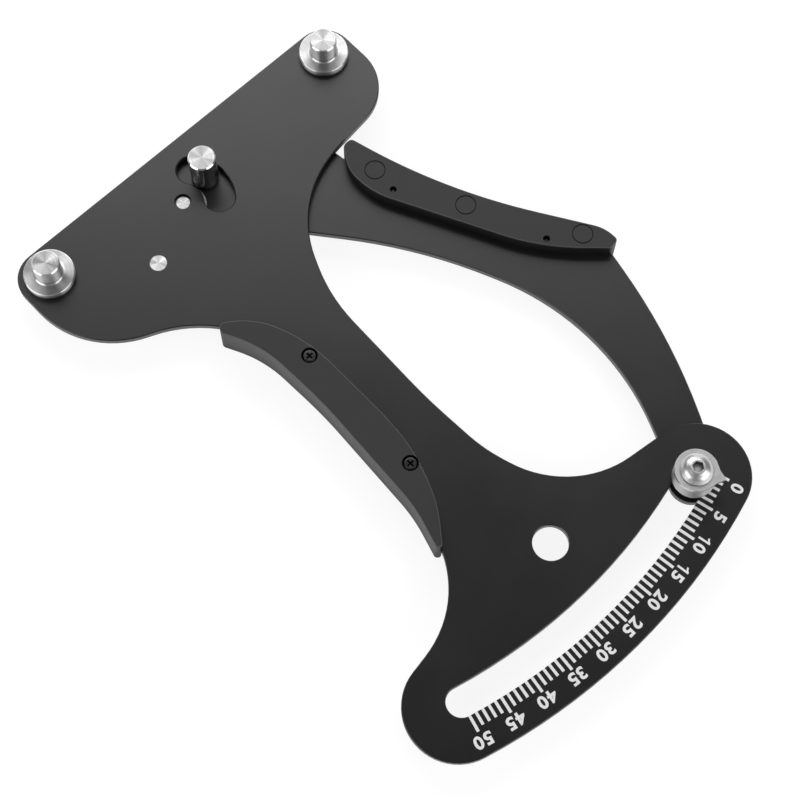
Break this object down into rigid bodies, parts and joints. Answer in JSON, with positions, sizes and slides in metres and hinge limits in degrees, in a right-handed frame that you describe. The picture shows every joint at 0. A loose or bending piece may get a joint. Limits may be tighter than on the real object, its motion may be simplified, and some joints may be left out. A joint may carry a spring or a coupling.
{
  "type": "spoke tension meter",
  "caption": "Hand-squeezed gauge for wheel spokes: two fixed posts and a moving post on a sprung lever, with a pointer over a curved scale slot.",
  "frame": {"origin": "centre of the footprint, on the surface the tool lies on, scale side up", "axes": "+Z out of the scale face, +Y along the tool from the scale to the posts, +X towards the squeezed lever"},
  "size_m": [0.1462, 0.204, 0.0192],
  "materials": {
    "plate_paint": "satin, fine powder texture",
    "grip_plastic": "matte moulded",
    "turned_steel": "turned",
    "sheet_steel": "satin",
    "zinc_fasteners": "bright zinc",
    "black_screws": "black oxide, slightly glossy",
    "spring_steel": "bright drawn wire",
    "slide_plastic": "smooth"
  },
  "bodies": {
    "fixed_body": {"main_plate": "plate_paint", "left_post": "turned_steel", "right_post": "turned_steel", "left_post_screw": "zinc_fasteners", "right_post_screw": "zinc_fasteners", "spring_anchor_pin": "turned_steel", "main_grip_front": "grip_plastic", "main_grip_back": "grip_plastic", "main_grip_screws": "black_screws", "pivot_pin": "turned_steel", "pivot_washer": "sheet_steel", "pivot_back_washer": "sheet_steel", "pivot_clip": "sheet_steel", "return_spring": "spring_steel"},
    "lever": {"lever_plate": "plate_paint", "moving_post": "turned_steel", "moving_post_screw": "zinc_fasteners", "lever_spring_pin": "turned_steel", "lever_grip_front": "grip_plastic", "lever_grip_back": "grip_plastic", "lever_grip_screws": "black_screws", "pointer_spacer": "turned_steel", "pointer": "sheet_steel", "pointer_screw": "zinc_fasteners", "pointer_nut": "zinc_fasteners", "slide_washer": "slide_plastic"}
  },
  "joints": [
    {"name": "lever_squeeze", "type": "hinge", "parent": "fixed_body", "child": "lever", "pos_m": [-0.01226, 0.08455, 0.00535], "axis": [0, 0, 1], "range_deg": [-31, 0], "stiffness_Nm_per_rad": 0.3, "springref_deg": 60.16, "deforming": ["return_spring"]}
  ]
}
